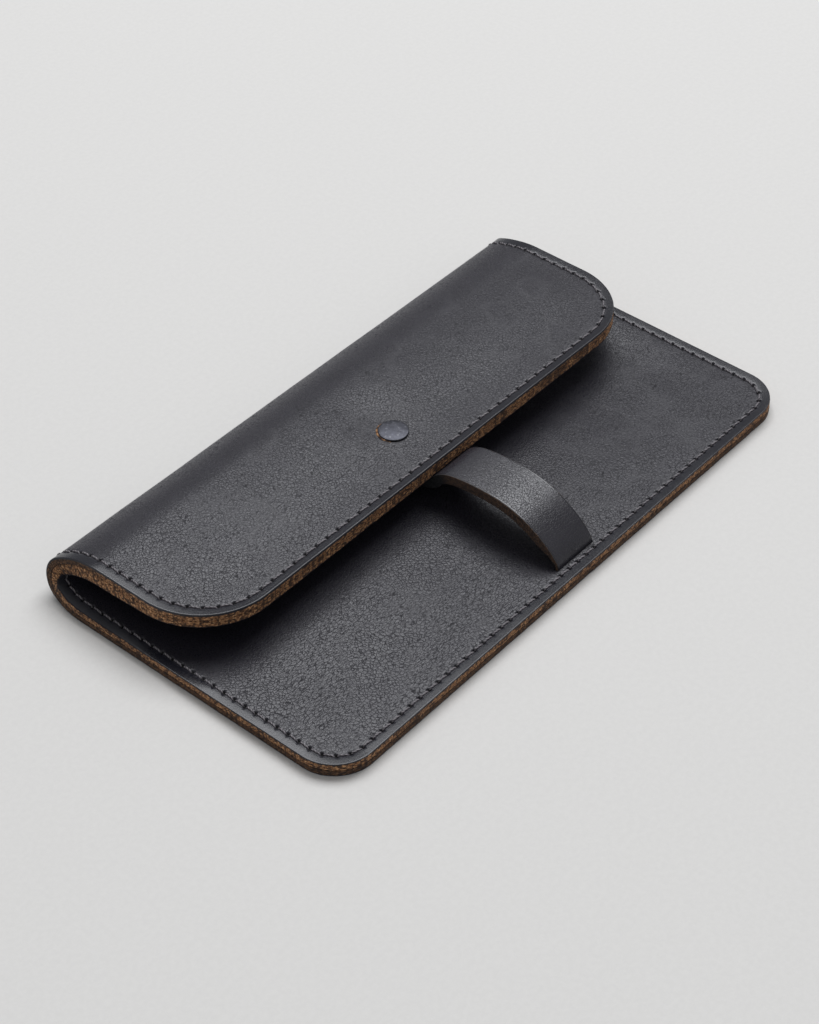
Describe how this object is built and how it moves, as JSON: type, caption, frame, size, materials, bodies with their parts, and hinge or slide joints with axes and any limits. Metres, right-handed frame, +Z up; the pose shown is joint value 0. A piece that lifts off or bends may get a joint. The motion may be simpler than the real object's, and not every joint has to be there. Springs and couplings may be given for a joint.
{
  "type": "folding leather tool case",
  "caption": "Flat leather case in two bonded, edge-stitched layers that folds over itself and closes with an arched strap sewn in at the front and a press stud under the flap.",
  "frame": {"origin": "under the middle of the closed case, on the table", "axes": "+X along the front edge towards the end where the strap sits off the snap, +Y from the front edge to the fold, +Z up through the flap"},
  "size_m": [0.2114, 0.1154, 0.0192],
  "materials": {
    "outer_leather": "black grained leather, semi-matte",
    "lining_leather": "black grained leather, semi-matte, brown raw edge",
    "strap_leather": "smooth black leather, brown raw edge",
    "thread": "waxed dark grey thread",
    "cap_metal": "blackened, scuffed",
    "snap_metal": "darkened brass, satin"
  },
  "bodies": {
    "base": {"outer_base": "outer_leather", "lining_base": "lining_leather", "seam_base_top": "thread", "seam_base_under": "thread", "strap_root": "strap_leather"},
    "fold_1": {"outer_fold_1": "outer_leather", "lining_fold_1": "lining_leather", "seam_fold_1_left": "thread", "seam_fold_1_right": "thread"},
    "fold_2": {"outer_fold_2": "outer_leather", "lining_fold_2": "lining_leather", "seam_fold_2_left": "thread", "seam_fold_2_right": "thread"},
    "fold_3": {"outer_fold_3": "outer_leather", "lining_fold_3": "lining_leather", "seam_fold_3_left": "thread", "seam_fold_3_right": "thread"},
    "fold_4": {"outer_fold_4": "outer_leather", "lining_fold_4": "lining_leather", "seam_fold_4_left": "thread", "seam_fold_4_right": "thread"},
    "fold_5": {"outer_fold_5": "outer_leather", "lining_fold_5": "lining_leather", "seam_fold_5_left": "thread", "seam_fold_5_right": "thread"},
    "flap": {"outer_flap": "outer_leather", "lining_flap": "lining_leather", "seam_flap_top": "thread", "seam_flap_under": "thread", "snap_cap": "cap_metal", "snap_socket": "snap_metal"},
    "strap": {"strap_band": "strap_leather", "snap_stud": "snap_metal", "snap_back_ring": "snap_metal"}
  },
  "joints": [
    {"name": "crease_1", "type": "hinge", "parent": "base", "child": "fold_1", "pos_m": [0, 0.04844, 0.00044], "axis": [-1, 0, 0], "range_deg": [0, 21.25]},
    {"name": "crease_2", "type": "hinge", "parent": "fold_1", "child": "fold_2", "pos_m": [0, 0.05446, 0.00268], "axis": [-1, 0, 0], "range_deg": [0, 30.96]},
    {"name": "crease_3", "type": "hinge", "parent": "fold_2", "child": "fold_3", "pos_m": [0, 0.05662, 0.00565], "axis": [-1, 0, 0], "range_deg": [0, 30.96]},
    {"name": "crease_4", "type": "hinge", "parent": "fold_3", "child": "fold_4", "pos_m": [0, 0.05687, 0.00932], "axis": [-1, 0, 0], "range_deg": [0, 30.96]},
    {"name": "crease_5", "type": "hinge", "parent": "fold_4", "child": "fold_5", "pos_m": [0, 0.05515, 0.01257], "axis": [-1, 0, 0], "range_deg": [0, 30.96]},
    {"name": "crease_6", "type": "hinge", "parent": "fold_5", "child": "flap", "pos_m": [0, 0.04597, 0.01691], "axis": [-1, 0, 0], "range_deg": [0, 29.03]},
    {"name": "strap_hinge", "type": "hinge", "parent": "base", "child": "strap", "pos_m": [0.00325, -0.05258, 0.00495], "axis": [1, 0, 0], "range_deg": [0, 48.34]}
  ],
  "couplings": [
    {"joint": "crease_2", "follows": "crease_1", "ratio": 1.4545},
    {"joint": "crease_3", "follows": "crease_1", "ratio": 1.4545},
    {"joint": "crease_4", "follows": "crease_1", "ratio": 1.4545},
    {"joint": "crease_5", "follows": "crease_1", "ratio": 1.4545},
    {"joint": "crease_6", "follows": "crease_1", "ratio": 1.3636},
    {"joint": "strap_hinge", "follows": "crease_1", "ratio": 2.2727}
  ]
}
